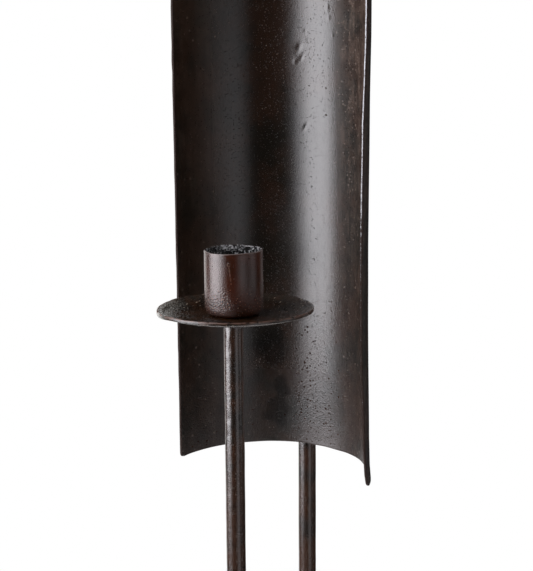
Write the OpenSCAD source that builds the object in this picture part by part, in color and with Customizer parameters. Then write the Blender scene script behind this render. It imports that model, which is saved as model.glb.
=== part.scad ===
// Wall candle holder: a rolled iron shield hangs on the wall, and a round bar
// bent into a U carries a dished drip pan and a drawn candle cup in front of it.
// The origin is the centre of the keyhole's round hole, on the wall plane.
// +Z is up, the wall is the plane y = 0, and the candle stands towards -Y.

/* [Shield] */
// Height of the rolled shield
shield_h = 400; // [300:5:560]
// Inner radius that the sheet is rolled to
shield_r = 45; // [40:0.5:60]
// Thickness of the sheet
shield_t = 1.2; // [0.8:0.1:2.5]
// Angle from the middle of the shield to each of its long edges
shield_half_angle = 86; // [70:1:90]
// Height of the shield's top edge over the keyhole's round hole
shield_over_hole = 20; // [18:1:40]
// Corner radius of the flat sheet before it is rolled
shield_corner_r = 2; // [0.5:0.5:8]

/* [Bar] */
// Diameter of the round bar
bar_d = 8; // [6:0.5:12]
// Distance between the centrelines of the two legs
leg_spacing = 78; // [70:1:110]
// Straight length of each leg below the shield's bottom edge
leg_drop = 80; // [30:5:160]

/* [Drip pan] */
// Diameter over the pan's rim
pan_d = 66; // [50:1:90]
// Thickness of the pan's sheet
pan_t = 1.5; // [1:0.1:2.5]
// Depth of the pan's floor below its rim
pan_depth = 3; // [1.5:0.5:8]
// Diameter of the pan's flat floor
pan_floor_d = 34; // [28:1:44]
// Height of the pan's rim over the shield's bottom edge
pan_over_shield_bottom = 80; // [40:5:160]

/* [Candle cup] */
// Bore of the cup, for a 22 mm dinner candle
cup_bore_d = 23; // [20:0.5:26]
// Thickness of the cup's wall
cup_wall = 1; // [0.8:0.1:2]
// Thickness of the cup's floor
cup_floor_t = 1.2; // [0.8:0.1:2.5]
// Height of the cup over the pan's floor
cup_h = 27.5; // [20:0.5:40]
// Outer radius where the cup's wall turns into its floor
cup_corner_r = 3.5; // [3:0.1:5]

/* [Cup screw] */
// Thread diameter of the screw that holds the cup and the pan
screw_d = 4; // [3:0.5:5]
// Diameter of the screw's head
screw_head_d = 7.6; // [6:0.2:9.6]
// Height of the screw's head
screw_head_h = 1.9; // [1.2:0.1:2.2]
// Length of the screw's thread inside the bar
screw_grip = 9; // [6:0.5:14]
// Width of the driver slot in the head
screw_slot_w = 1; // [0.8:0.1:1.6]
// Depth of the driver slot in the head
screw_slot_depth = 0.9; // [0.5:0.1:1]

/* [Wall hanger] */
// Width of the hanger strap
hanger_w = 26; // [22:1:40]
// Thickness of the hanger strap
hanger_t = 2; // [1.5:0.1:4]
// Diameter of the keyhole's round hole, which the screw's head goes through
keyhole_d = 10; // [8:0.5:12]
// Width of the keyhole's slot, which the screw's shank hangs in
keyhole_slot_w = 5; // [4.5:0.1:6]
// Height of the slot's end over the round hole's centre
keyhole_slot_h = 11; // [9:0.5:14]
// Material left above the slot
hanger_head = 5; // [4:0.5:10]
// Length of strap that lies along the bar
hanger_lap = 30; // [20:1:60]
// Corner radius of the strap
hanger_corner_r = 4; // [1:0.5:8]

/* [Welds] */
// Radius of a weld bead
bead_r = 1.7; // [1.2:0.1:2.4]
// Length of each bead between the bar and the shield
shield_bead_l = 18; // [10:1:30]
// Number of bead pairs along the shield
shield_bead_pairs = 3; // [2:1:5]
// Distance from the bar's end to the nearest bead, and from the shield's bottom to the lowest
shield_bead_inset = 16; // [12:1:40]
// Length of each bead between the bar and the hanger
hanger_bead_l = 20; // [10:1:20]
// Leg of the ring weld under the pan
pan_weld_leg = 1.8; // [1:0.1:3]

/* [Hidden] */
$fn = 96;

// Radial clearance of the screw in the bar's tapped hole and in the sheet holes
thread_gap = 0.05;
screw_hole_gap = 0.2;
// Clear height between the bar's end and the keyhole's round hole
bar_end_gap = 4;
// Depth of the tapped hole past the screw's tip, and of the hole's drill point
tap_run_out = 2;
// Overlap that makes a cut run clear of the face it starts from
cut_over = 1;
// Inset of a corner's centre, as a share of its radius, at which its arc crosses the edges and doesn't just touch them
corner_inset = 0.93;
// Points along each curved stretch of the pan's section
pan_steps = 12;
// Points round each quarter turn of the cup's section
corner_steps = 8;

bar_r = bar_d / 2;
rear_y = -hanger_t - bar_r;
front_y = rear_y - leg_spacing;
bend_r = leg_spacing / 2;
shield_axis_y = rear_y - bar_r - shield_t - shield_r;
shield_top_z = shield_over_hole;
shield_bottom_z = shield_top_z - shield_h;
pan_rim_z = shield_bottom_z + pan_over_shield_bottom;
pan_floor_z = pan_rim_z - pan_depth;
pan_under_z = pan_floor_z - pan_t;
bend_z = shield_bottom_z - leg_drop;
bar_end_z = -keyhole_d / 2 - bar_end_gap;
cup_bore_r = cup_bore_d / 2;
cup_r = cup_bore_r + cup_wall;
cup_inner_corner_r = cup_corner_r - cup_wall;
screw_hole_r = screw_d / 2 + screw_hole_gap;

iron = [0.20, 0.16, 0.145];
cup_brown = [0.24, 0.16, 0.135];
weld_grey = [0.17, 0.15, 0.14];
screw_black = [0.12, 0.12, 0.12];

// Points of an arc in a plane, from one angle to another
function arc(centre, r, from, to, steps) =
    [for (i = [0:steps])
        let (a = from + (to - from) * i / steps)
        centre + r * [cos(a), sin(a)]];

// Rise of the pan's upper face at a radius: flat, then a smooth sweep up to the rim
function pan_rise(r) =
    let (run = pan_d / 2 - pan_floor_d / 2,
         share = max(0, (r - pan_floor_d / 2) / run))
    pan_depth * (1 - cos(90 * share));

// The sheet rolled round the shield's axis, as tall as its blank
module rolled_sheet() {
    translate([0, shield_axis_y, shield_bottom_z])
        rotate([0, 0, 90 - shield_half_angle])
            rotate_extrude(angle = 2 * shield_half_angle)
                translate([shield_r, 0])
                    square([shield_t, shield_h]);
}

// What a rounded corner of the blank takes off the rolled sheet.
// side is -1 or 1 for the left or right edge, end is -1 or 1 for bottom or top.
module corner_cut(side, end) {
    edge_a = 90 - side * shield_half_angle;
    corner_z = end < 0 ? shield_bottom_z : shield_top_z;
    inset = corner_inset * shield_corner_r;
    bite = 2 * shield_corner_r;
    depth = shield_t + 2 * cut_over;
    translate([0, shield_axis_y, 0])
        rotate([0, 0, edge_a])
            translate([shield_r - cut_over, side * inset, corner_z - end * inset])
                difference() {
                    translate([0, side < 0 ? 0 : -bite, end < 0 ? -bite : 0])
                        cube([depth, bite, bite]);
                    translate([-cut_over, 0, 0])
                        rotate([0, 90, 0])
                            cylinder(h = depth + 2 * cut_over, r = shield_corner_r);
                }
}

// Rolled shield with its four corners eased
module shield() {
    color(iron)
        difference() {
            rolled_sheet();
            for (side = [-1, 1], end = [-1, 1])
                corner_cut(side, end);
        }
}

// Round bar bent into a U: short leg to the pan, long leg up behind the shield
module support_bar() {
    color(iron)
        difference() {
            union() {
                translate([0, front_y, bend_z])
                    cylinder(h = pan_under_z - bend_z, r = bar_r);
                translate([0, rear_y, bend_z])
                    cylinder(h = bar_end_z - bend_z, r = bar_r);
                translate([0, (front_y + rear_y) / 2, bend_z])
                    rotate([90, 0, -90])
                        rotate([0, 0, 180])
                            rotate_extrude(angle = 180)
                                translate([bend_r, 0])
                                    circle(r = bar_r);
            }
            translate([0, front_y, pan_under_z - screw_grip - tap_run_out])
                cylinder(h = screw_grip + tap_run_out + cut_over, r = screw_d / 2 + thread_gap);
        }
}

// Pressed pan: flat floor, sides that sweep up, and a rounded rim
module drip_pan() {
    rim_r = pan_d / 2 - pan_t / 2;
    upper = [for (i = [0:pan_steps])
        let (r = pan_floor_d / 2 + (rim_r - pan_floor_d / 2) * i / pan_steps)
        [r, pan_floor_z + pan_rise(r)]];
    lower = [for (p = upper) p - [0, pan_t]];
    edge = upper[pan_steps] - [0, pan_t / 2];
    section = concat(
        [[screw_hole_r, pan_under_z]],
        lower,
        arc(edge, pan_t / 2, -75, 75, corner_steps),
        [for (i = [pan_steps:-1:0]) upper[i]],
        [[screw_hole_r, pan_floor_z]]
    );
    color(iron)
        translate([0, front_y, 0])
            rotate_extrude()
                polygon(section);
}

// Drawn cup: straight wall, rounded foot, flat floor with the screw's hole
module candle_cup() {
    foot_z = pan_floor_z;
    floor_z = foot_z + cup_floor_t;
    outer_c = [cup_r - cup_corner_r, foot_z + cup_corner_r];
    inner_c = [cup_bore_r - cup_inner_corner_r, floor_z + cup_inner_corner_r];
    lip = [cup_r - cup_wall / 2, foot_z + cup_h - cup_wall / 2];
    section = concat(
        [[screw_hole_r, foot_z]],
        arc(outer_c, cup_corner_r, -90, 0, corner_steps),
        arc(lip, cup_wall / 2, 0, 180, corner_steps),
        arc(inner_c, cup_inner_corner_r, 0, -90, corner_steps),
        [[screw_hole_r, floor_z]]
    );
    color(cup_brown)
        translate([0, front_y, 0])
            rotate_extrude()
                polygon(section);
}

// Low-head screw through the cup and the pan into the end of the bar
module cup_screw() {
    seat_z = pan_floor_z + cup_floor_t;
    tip_z = pan_under_z - screw_grip;
    color(screw_black)
        translate([0, front_y, 0])
            difference() {
                union() {
                    translate([0, 0, tip_z])
                        cylinder(h = seat_z - tip_z + cut_over / 2, r = screw_d / 2);
                    translate([0, 0, seat_z])
                        cylinder(h = screw_head_h, r = screw_head_d / 2);
                }
                translate([-screw_head_d, -screw_slot_w / 2, seat_z + screw_head_h - screw_slot_depth])
                    cube([2 * screw_head_d, screw_slot_w, screw_slot_depth + cut_over]);
            }
}

// Outline of the strap, with the keyhole cut out of it, as seen from the room
module hanger_outline() {
    top = keyhole_slot_h + hanger_head;
    bottom = bar_end_z - hanger_lap;
    difference() {
        translate([-hanger_w / 2, bottom])
            union() {
                translate([hanger_corner_r, 0])
                    square([hanger_w - 2 * hanger_corner_r, top - bottom]);
                translate([0, hanger_corner_r])
                    square([hanger_w, top - bottom - 2 * hanger_corner_r]);
                for (x = [hanger_corner_r, hanger_w - hanger_corner_r],
                     z = [hanger_corner_r, top - bottom - hanger_corner_r])
                    translate([x, z])
                        circle(r = hanger_corner_r);
            }
        circle(d = keyhole_d);
        translate([-keyhole_slot_w / 2, 0])
            square([keyhole_slot_w, keyhole_slot_h - keyhole_slot_w / 2]);
        translate([0, keyhole_slot_h - keyhole_slot_w / 2])
            circle(d = keyhole_slot_w);
    }
}

// Flat strap with a keyhole, welded to the bar's upper end
module wall_hanger() {
    color(iron)
        rotate([90, 0, 0])
            linear_extrude(height = hanger_t)
                hanger_outline();
}

// Section of a bead that fills the corner beside the bar, against a face at face_y.
// side is -1 or 1, and towards is the sign of the step in y from the bar to that face.
module bead_section(side, towards) {
    across = bar_r * 0.8;
    translate([side * across, rear_y + towards * (bar_r - bead_r * 0.45)])
        circle(r = bead_r);
}

// Bead pairs between the bar and the back of the shield
module shield_welds() {
    low = shield_bottom_z + shield_bead_inset;
    high = bar_end_z - shield_bead_inset - shield_bead_l;
    color(weld_grey)
        for (i = [0:shield_bead_pairs - 1], side = [-1, 1])
            translate([0, 0, low + (high - low) * i / (shield_bead_pairs - 1)])
                linear_extrude(height = shield_bead_l)
                    difference() {
                        bead_section(side, -1);
                        translate([0, rear_y])
                            circle(r = bar_r);
                        translate([0, shield_axis_y])
                            circle(r = shield_r + shield_t);
                    }
}

// Beads between the bar's upper end and the strap
module hanger_welds() {
    start = bar_end_z - hanger_lap + (hanger_lap - hanger_bead_l) / 2;
    color(weld_grey)
        for (side = [-1, 1])
            translate([0, 0, start])
                linear_extrude(height = hanger_bead_l)
                    difference() {
                        bead_section(side, 1);
                        translate([0, rear_y])
                            circle(r = bar_r);
                        translate([-hanger_w, -hanger_t])
                            square([2 * hanger_w, 2 * bead_r]);
                    }
}

// Concave ring weld between the bar's top and the underside of the pan
module pan_weld() {
    section = concat(
        [[bar_r, pan_under_z]],
        arc([bar_r + pan_weld_leg, pan_under_z - pan_weld_leg], pan_weld_leg, 90, 180, corner_steps)
    );
    color(weld_grey)
        translate([0, front_y, 0])
            rotate_extrude()
                polygon(section);
}

shield();
support_bar();
drip_pan();
candle_cup();
cup_screw();
wall_hanger();
shield_welds();
hanger_welds();
pan_weld();
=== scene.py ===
"""Looks of the wall candle holder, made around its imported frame.

A rolled iron shield hangs on the wall, and a round bar bent into a U carries a dished
drip pan and a drawn candle cup in front of it. Every length is in metres, in the frame
of the part: +Z up, the wall at y = 0, the candle towards -Y.
"""

import math
from functools import partial
from typing import NamedTuple

import bpy
import numpy as np
from bpy.props import FloatProperty, FloatVectorProperty, PointerProperty
from mathutils import Matrix, Vector


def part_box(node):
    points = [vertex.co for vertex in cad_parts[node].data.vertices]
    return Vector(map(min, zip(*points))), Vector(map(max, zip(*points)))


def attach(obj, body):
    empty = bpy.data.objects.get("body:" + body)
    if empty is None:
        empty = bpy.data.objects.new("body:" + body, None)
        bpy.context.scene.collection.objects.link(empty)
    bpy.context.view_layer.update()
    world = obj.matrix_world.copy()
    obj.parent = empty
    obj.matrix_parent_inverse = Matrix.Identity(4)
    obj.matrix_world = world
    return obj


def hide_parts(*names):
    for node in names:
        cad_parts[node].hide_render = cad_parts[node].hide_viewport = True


bl_info = {
    "name": "Wall candle holder",
    "version": (1, 0, 0),
    "blender": (4, 5, 0),
    "location": "3D View > Sidebar > Candle holder",
    "description": "Builds the iron pieces of a wall candle holder and its studio",
    "category": "Add Mesh",
}

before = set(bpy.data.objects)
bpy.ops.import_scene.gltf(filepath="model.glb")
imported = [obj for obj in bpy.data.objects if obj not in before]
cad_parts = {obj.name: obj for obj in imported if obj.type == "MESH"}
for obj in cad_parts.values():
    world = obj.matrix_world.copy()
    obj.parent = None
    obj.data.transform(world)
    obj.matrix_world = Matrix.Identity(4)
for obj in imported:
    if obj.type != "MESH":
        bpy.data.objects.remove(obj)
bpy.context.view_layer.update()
BODY = "root"
MM = 0.001

SHIELD_LOW, SHIELD_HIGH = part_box("shield")
BAR_LOW, BAR_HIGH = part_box("support_bar")
PAN_LOW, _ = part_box("drip_pan")
CUP_LOW, CUP_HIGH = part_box("candle_cup")
STRAP_LOW, STRAP_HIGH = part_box("wall_hanger")

# The bar's two legs stand in the plane x = 0
BAR_RADIUS = (BAR_HIGH.x - BAR_LOW.x) / 2
FRONT_Y = BAR_LOW.y + BAR_RADIUS
REAR_Y = BAR_HIGH.y - BAR_RADIUS
BEND_RADIUS = (REAR_Y - FRONT_Y) / 2
BEND_Z = BAR_LOW.z + BAR_RADIUS + BEND_RADIUS

# Cells along each side of the table of random values that lumps() repeats
LATTICE = 32
FULL_TURN = 2 * math.pi


# Colours and shader nodes


def linear(hex_colour, alpha=1.0):
    """An sRGB hex colour as the linear RGBA that Blender's sockets take."""
    parts = [int(hex_colour[i:i + 2], 16) / 255 for i in (1, 3, 5)]
    toned = [p / 12.92 if p <= 0.04045 else ((p + 0.055) / 1.055) ** 2.4 for p in parts]
    return (*toned, alpha)


def colour_property(name, description, hex_colour):
    """A colour that the user can change."""
    return FloatVectorProperty(
        name=name, description=description, default=linear(hex_colour)[:3], min=0, max=1, size=3,
        subtype="COLOR",
    )


def length_property(name, description, size, least, most):
    """A length that the user can change. The three lengths are given in millimetres."""
    return FloatProperty(
        name=name, description=description, default=size * MM, min=least * MM, max=most * MM,
        precision=5, unit="LENGTH",
    )


# Settings that many nodes share
TIMES = {"operation": "MULTIPLY"}
TIMES_PLUS = {"operation": "MULTIPLY_ADD"}
PLUS = {"operation": "ADD"}
LARGER = {"operation": "MAXIMUM"}
SMOOTH = {"interpolation_type": "SMOOTHSTEP"}
COLOUR = {"data_type": "RGBA"}
VECTOR = {"data_type": "VECTOR"}


def add_node(tree, kind, inputs=(), give=None, **settings):
    """Adds a shader node with its settings, and gives the output that is named, or else the
    first one that the node shows. Inputs are given by name, or in the order in which the node
    shows them: one that is a socket is linked, and any other is set."""
    node = tree.nodes.new("ShaderNode" + kind)
    for name, value in settings.items():
        setattr(node, name, value)
    if isinstance(inputs, dict):
        pairs = [(node.inputs[name], value) for name, value in inputs.items()]
    else:
        pairs = zip([socket for socket in node.inputs if socket.enabled], inputs)
    for socket, value in pairs:
        if isinstance(value, bpy.types.NodeSocket):
            tree.links.new(value, socket)
        else:
            socket.default_value = value
    return node.outputs[give] if give else next(out for out in node.outputs if out.enabled)


def scale_of(size):
    """The texture scale that gives lumps or cells of that size in millimetres."""
    return 1 / (size * MM)


def start_material(name):
    """A new material, the function that adds nodes to it, and the place on the object."""
    material = bpy.data.materials.new(name)
    material.use_nodes = True
    add = partial(add_node, material.node_tree)
    return material, add, add("TexCoord", give="Object")


def finish_material(material, made):
    """Links the made sockets to the shader's inputs, or sets plain values there."""
    tree = material.node_tree
    shader = tree.nodes["Principled BSDF"]
    for key, value in made.items():
        if isinstance(value, bpy.types.NodeSocket):
            tree.links.new(value, shader.inputs[key])
        else:
            shader.inputs[key].default_value = value
    return material


# The iron finishes. A noise takes its place, scale, detail and roughness, and a smooth step its
# value, where it starts and ends, and then the two values that it runs between.


class IronFinish(NamedTuple):
    """The texture of one iron surface. Sizes and depths are in millimetres."""

    # Size of the clouds in which brown oxide shows, and how much of the surface they take
    patch: float
    oxide_share: float
    roughness: float
    ior: float
    # Size and depth of the wavy skin, and of the fine grain
    peel: float
    peel_depth: float
    grain: float
    grain_depth: float
    # Size of the cells that hold a spot each, and how many spots are pits or specks of dust
    pit: float
    pit_depth: float
    pit_share: float
    dust_share: float
    pit_strength: float = 1.0
    # Scale from front to back for all small marks, below 1 to draw them out in that direction
    stretch: float = 1.0
    # A coarser foot: the height up to which it is whole, how far it fades above that, and what it
    # adds, among them light raised specks whose colour is partly painted glints
    foot: float = 0.0
    foot_fade: float = 1.0
    foot_peel: float = 0.0
    foot_grit: float = 0.0
    foot_glint_specks: float = 0.0
    foot_glint_strength: float = 0.0
    foot_pits: float = 0.0
    foot_dust: float = 0.0
    foot_roughness: float = 0.0


# Near black that pits are coloured with, as painted shade in their hollows
PIT_SHADE_BLACK = "#0c0906"
PIT_BROWN = "#402c24"
# How high dust and the foot's light specks, partly painted glints, stand, in mm, and how much of
# its colour thin dust lends
DUST_RISE = 0.06
GLINT_SPECK_RISE = 0.15
DUST_COVER = 0.45
# The shader's plain specular level, and what a pit adds to it and to the roughness
PLAIN_LEVEL = 0.5
PIT_LEVEL = -0.45
PIT_ROUGHNESS = 0.2
# Radius of the smallest spots and how much more the largest have, and how far inside and outside
# its edge a spot fades, in shares of its cell
SPOT_RADIUS = 0.14
SPOT_SPREAD = 0.28
SPOT_FADE = (-0.06, 0.1)
# Where a cell is chosen, less the share of the cells that is wanted
CHOSEN_START = 1.14
CHOSEN_END = 1.16
# Size of the cells of the larger spots beside that of the small ones
LARGER_CELLS = 2.2


def spots(add, cell, place):
    """Round spots of many sizes, one to a cell, the cells' random draws, and the distance from
    the middle of the cell."""
    cells = add("TexVoronoi", (place, scale_of(cell))).node.outputs
    draws = add("SeparateColor", (cells["Color"],)).node.outputs
    squared = add("Math", (draws["Green"], draws["Green"]), **TIMES)
    radius = add("Math", (squared, SPOT_SPREAD, SPOT_RADIUS), **TIMES_PLUS)
    inside = add("Math", (radius, cells["Distance"]), operation="SUBTRACT")
    return add("MapRange", (inside, *SPOT_FADE), **SMOOTH), draws, cells["Distance"]


def chosen(add, draw, share):
    """1 in that share of the cells, by a draw that is raised where spots are common."""
    return add("MapRange", (draw, CHOSEN_START - share, CHOSEN_END - share), **SMOOTH)


def hairs(add, place):
    """Hairline scratches along the level lines of a slow noise, broken into short runs."""
    slow = add("TexNoise", (place, scale_of(9.0), 1.0, 0.5))
    line = add("Math", (slow, 0.5, 0.007), operation="COMPARE")
    runs = add("TexNoise", (place, scale_of(5.0), 2.0, 0.6))
    return add("Math", (line, add("MapRange", (runs, 0.56, 0.62), **SMOOTH)), **TIMES)


def larger_marks(add, specks, foot, finish):
    """The larger pits, common in the foot and where the mesh is pitted, and the larger specks of
    dust, common where it is dull."""
    pitted = add("Attribute", give="Fac", attribute_name="pitted")
    dull = add("Attribute", give="Fac", attribute_name="dull")
    spot, draws, _ = spots(add, finish.pit * LARGER_CELLS, specks)
    chance = add("Math", (foot, 0.65, add("Math", (draws["Red"], -1.0), **PLUS)), **TIMES_PLUS)
    chance = add("Math", (pitted, 0.5, chance), **TIMES_PLUS)
    pits = add("Math", (spot, chosen(add, chance, finish.foot_pits)), **TIMES)
    chance = add("Math", (dull, 0.6, add("Math", (draws["Blue"], -0.28), **PLUS)), **TIMES_PLUS)
    dust = add("Math", (spot, chosen(add, chance, finish.dust_share)), **TIMES)
    return pits, dust


def iron_material(name, colours, finish, shaping=None):
    """Wrought iron under a black skin of fire scale, rubbed with wax. The scale is a glassy
    oxide with a high index, so its gloss is neutral and broad, and brown shows where it is thin."""
    material, add, place = start_material(name)
    iron, oxide, dust_colour = (
        (*colour, 1.0) for colour in (colours.iron, colours.oxide, colours.dust)
    )
    specks = add("VectorMath", (place, (1.0, finish.stretch, 1.0)), **TIMES)
    height = add("SeparateXYZ", (place,), give="Z")
    foot_top = (finish.foot + finish.foot_fade) * MM
    foot = add("MapRange", (height, finish.foot * MM, foot_top, 1.0, 0.0), **SMOOTH)
    clouds = add("TexNoise", (place, scale_of(finish.patch), 6.0, 0.66))
    peel = add("TexNoise", (specks, scale_of(finish.peel), 2.0, 0.5))
    grain = add("TexNoise", (specks, scale_of(finish.grain), 2.0, 0.6))

    spot, draws, grit = spots(add, finish.pit, specks)
    chance = add("Math", (clouds, 0.15, add("Math", (draws["Red"], 0.07), **PLUS)), **TIMES_PLUS)
    pits = add("Math", (spot, chosen(add, chance, finish.pit_share)), **TIMES)
    pits = add("Math", (pits, finish.pit_strength), **TIMES)
    chance = add("Math", (clouds, 1.2, add("Math", (draws["Blue"], -0.72), **PLUS)), **TIMES_PLUS)
    chance = add("Math", (foot, finish.foot_dust, chance), **TIMES_PLUS)
    dust = add("Math", (spot, chosen(add, chance, finish.dust_share)), **TIMES)
    # Light raised specks over the foot, their colour partly painted glints
    specks_and_glints = add("Math", (spot, chosen(add, draws["Blue"], finish.foot_glint_specks)), **TIMES)
    specks_and_glints = add("Math", (foot, specks_and_glints), **TIMES)
    specks_and_glints = add("Math", (specks_and_glints, finish.foot_glint_strength), **TIMES)
    if finish.foot_pits:
        large_pits, large_dust = larger_marks(add, specks, foot, finish)
        pits = add("Math", (pits, large_pits), **LARGER)
        dust = add("Math", (dust, large_dust), **LARGER)

    oxide_edge = 0.62 - 0.24 * finish.oxide_share
    rusty = add("MapRange", (clouds, oxide_edge - 0.1, oxide_edge + 0.1), **SMOOTH)
    colour = add("Mix", (rusty, iron, oxide), **COLOUR)
    colour = add("Mix", (specks_and_glints, colour, dust_colour), **COLOUR)
    thin_dust = add("Math", (dust, DUST_COVER), **TIMES)
    colour = add("Mix", (thin_dust, colour, dust_colour), **COLOUR)
    # Pits darkened to near black as painted shade
    colour = add("Mix", (pits, colour, linear(PIT_SHADE_BLACK)), **COLOUR)
    if finish.foot_pits:
        colour = add("Mix", (large_pits, colour, linear(PIT_BROWN)), **COLOUR)

    peel_depth = add("Math", (foot, finish.foot_peel, finish.peel_depth), **TIMES_PLUS)
    relief = add("Math", (peel, peel_depth), **TIMES)
    foot_grit = add("Math", (foot, grit), **TIMES)
    for mark, rise in (
        (grain, finish.grain_depth),
        (pits, -finish.pit_depth),
        (dust, DUST_RISE),
        (specks_and_glints, GLINT_SPECK_RISE),
        (foot_grit, finish.foot_grit),
    ):
        relief = add("Math", (mark, rise, relief), **TIMES_PLUS)
    roughness = add("Math", (foot, finish.foot_roughness, finish.roughness), **TIMES_PLUS)
    made = {
        "Base Color": colour,
        "Roughness": add("Math", (pits, PIT_ROUGHNESS, roughness), **TIMES_PLUS),
        "Normal": add("Bump", {"Height": relief, "Distance": MM}),
        "Specular IOR Level": add("Math", (pits, PIT_LEVEL, PLAIN_LEVEL), **TIMES_PLUS),
        "IOR": finish.ior,
    }
    if shaping:
        shaping(add, place, made)
    return finish_material(material, made)


DUST_FILM = "#7a675b"
WAX_STAIN = "#060402"
SHEARED_EDGE = "#33221a"
RUBBED_STEEL = "#b4b5b9"
# How strongly the dust film, the hair scratches and the wax stains show at their fullest
FILM_COVER = 0.36
SCRATCH_COVER = 0.6
STAIN_COVER = 0.65
# How rough the cut edges and the rubbed steel are, and what the dull wings add
CUT_ROUGHNESS = 0.62
RUBBED_ROUGHNESS = 0.42
DULL_ROUGHNESS = 0.2
# The specular level of the cut edges, and what the dull wings and the stains add to the level
CUT_LEVEL = 0.12
DULL_LEVEL = -0.2
STAIN_LEVEL = -0.25


def shield_details(add, place, made):
    """The wings are duller with dust and hair scratches, and wax has stained the foot black.
    The cut edges are matte brown where the shears left them, and rubbed to bare steel along the
    right edge, broken by pits."""
    cut, wear, dull, pitted, stain = (
        add("Attribute", give="Fac", attribute_name=name)
        for name in ("cut", "wear", "dull", "pitted", "stain")
    )
    patches = add("TexNoise", (place, scale_of(9.0), 7.0, 0.8))
    film = add("MapRange", (patches, 0.4, 0.62), **SMOOTH)
    drawn_down = add("VectorMath", (place, (1.0, 0.5, 0.08)), **TIMES)
    streaks = add("TexNoise", (drawn_down, scale_of(2.2), 3.0, 0.6))
    film = add("Math", (film, add("MapRange", (streaks, 0.3, 0.6), **SMOOTH)), **TIMES)
    film = add("Math", (pitted, 0.7, film), **TIMES_PLUS)
    film = add("Math", (add("Math", (film, dull), **TIMES), FILM_COVER), **TIMES)
    scratched = add("Math", (hairs(add, place), dull), **TIMES)
    scratched = add("Math", (scratched, SCRATCH_COVER), **TIMES)
    film = add("Math", (film, scratched), **LARGER)
    dusty = add("Mix", (film, made["Base Color"], linear(DUST_FILM)), **COLOUR)
    stain = add("Math", (stain, STAIN_COVER), **TIMES)
    stained = add("Mix", (stain, dusty, linear(WAX_STAIN)), **COLOUR)
    matte = add("Mix", (cut, stained, linear(SHEARED_EDGE)), **COLOUR)
    worn = add("Math", (wear, add("TexNoise", (place, scale_of(1.1), 4.0, 0.75))), **PLUS)
    bare = add("MapRange", (worn, 1.05, 1.2), **SMOOTH)
    made["Base Color"] = add("Mix", (bare, matte, linear(RUBBED_STEEL)), **COLOUR)
    rough = add("Math", (dull, DULL_ROUGHNESS, made["Roughness"]), **TIMES_PLUS)
    rough = add("Mix", (cut, rough, CUT_ROUGHNESS))
    made["Roughness"] = add("Mix", (bare, rough, RUBBED_ROUGHNESS))
    made["Metallic"] = bare
    level = add("Math", (dull, DULL_LEVEL, made["Specular IOR Level"]), **TIMES_PLUS)
    level = add("Math", (stain, STAIN_LEVEL, level), **TIMES_PLUS)
    made["Specular IOR Level"] = add("Mix", (cut, level, CUT_LEVEL))


# Colours of the crust inside the cup; its near-white patches are partly painted glints
CRUST_DARK = "#070605"
CRUST_LIGHT_AND_GLINTS = "#dcdbdf"
WAX_RUN = "#8a6f62"
RUBBED_LIP_AND_HIGHLIGHT = "#8f8885"
# How strongly the wax mark and the lip, rubbed lighter and partly painted as a highlight line, show
WAX_COVER = 0.7
LIP_WEAR_AND_HIGHLIGHT_COVER = 0.6
# How high the wax mark and the crust inside the cup stand, in mm
WAX_RISE = 0.04
CRUST_RISE = 0.9


def cup_details(add, place, made):
    """The inside of the cup keeps the crusty scale of the forge, grey from black to near white, its
    light patches partly painted glints. Its lip is rubbed lighter, partly as a painted highlight
    line, and a drop of wax has left a ring and a run on the wall."""
    inner, lip, mark = (
        add("Attribute", give="Fac", attribute_name=name) for name in ("inner", "lip", "mark")
    )
    # Crust inside the cup, its light patches partly painted glints
    slow = add("TexNoise", (place, scale_of(3.5), 2.0, 0.5))
    crust = add("TexNoise", (place, scale_of(0.9), 3.0, 0.65))
    crust = add("Math", (slow, 0.5, crust), **TIMES_PLUS)
    crust = add("MapRange", (crust, 0.75, 0.86), **SMOOTH)
    crust_and_glints = add("Mix", (crust, linear(CRUST_DARK), linear(CRUST_LIGHT_AND_GLINTS)), **COLOUR)
    waxed = add("Math", (mark, WAX_COVER), **TIMES)
    colour = add("Mix", (waxed, made["Base Color"], linear(WAX_RUN)), **COLOUR)
    # The lip lightened all round, partly wear and partly a painted highlight line
    lip_wear_and_highlight = add("Math", (lip, LIP_WEAR_AND_HIGHLIGHT_COVER), **TIMES)
    colour = add("Mix", (lip_wear_and_highlight, colour, linear(RUBBED_LIP_AND_HIGHLIGHT)), **COLOUR)
    made["Base Color"] = add("Mix", (inner, colour, crust_and_glints), **COLOUR)
    raised = add("Bump", {"Height": mark, "Distance": WAX_RISE * MM, "Normal": made["Normal"]})
    crusty = add("Bump", {"Height": crust, "Distance": CRUST_RISE * MM})
    made["Normal"] = add("Mix", (inner, raised, crusty), **VECTOR)


# Grey of the wax bloom, which on the left flange is mostly a painted sheen, and how strongly it
# shows at its fullest
BLOOM_AND_SHEEN_GREY = "#bab7ae"
RIM_RUST = "#6b4735"
BLOOM_AND_SHEEN_COVER = 0.8
# How rough the rim and its rust are, and how much of its grain the rim has lost
RIM_ROUGHNESS = 0.25
RUST_ROUGHNESS = 0.5
RIM_SMOOTHED = 0.85


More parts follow.
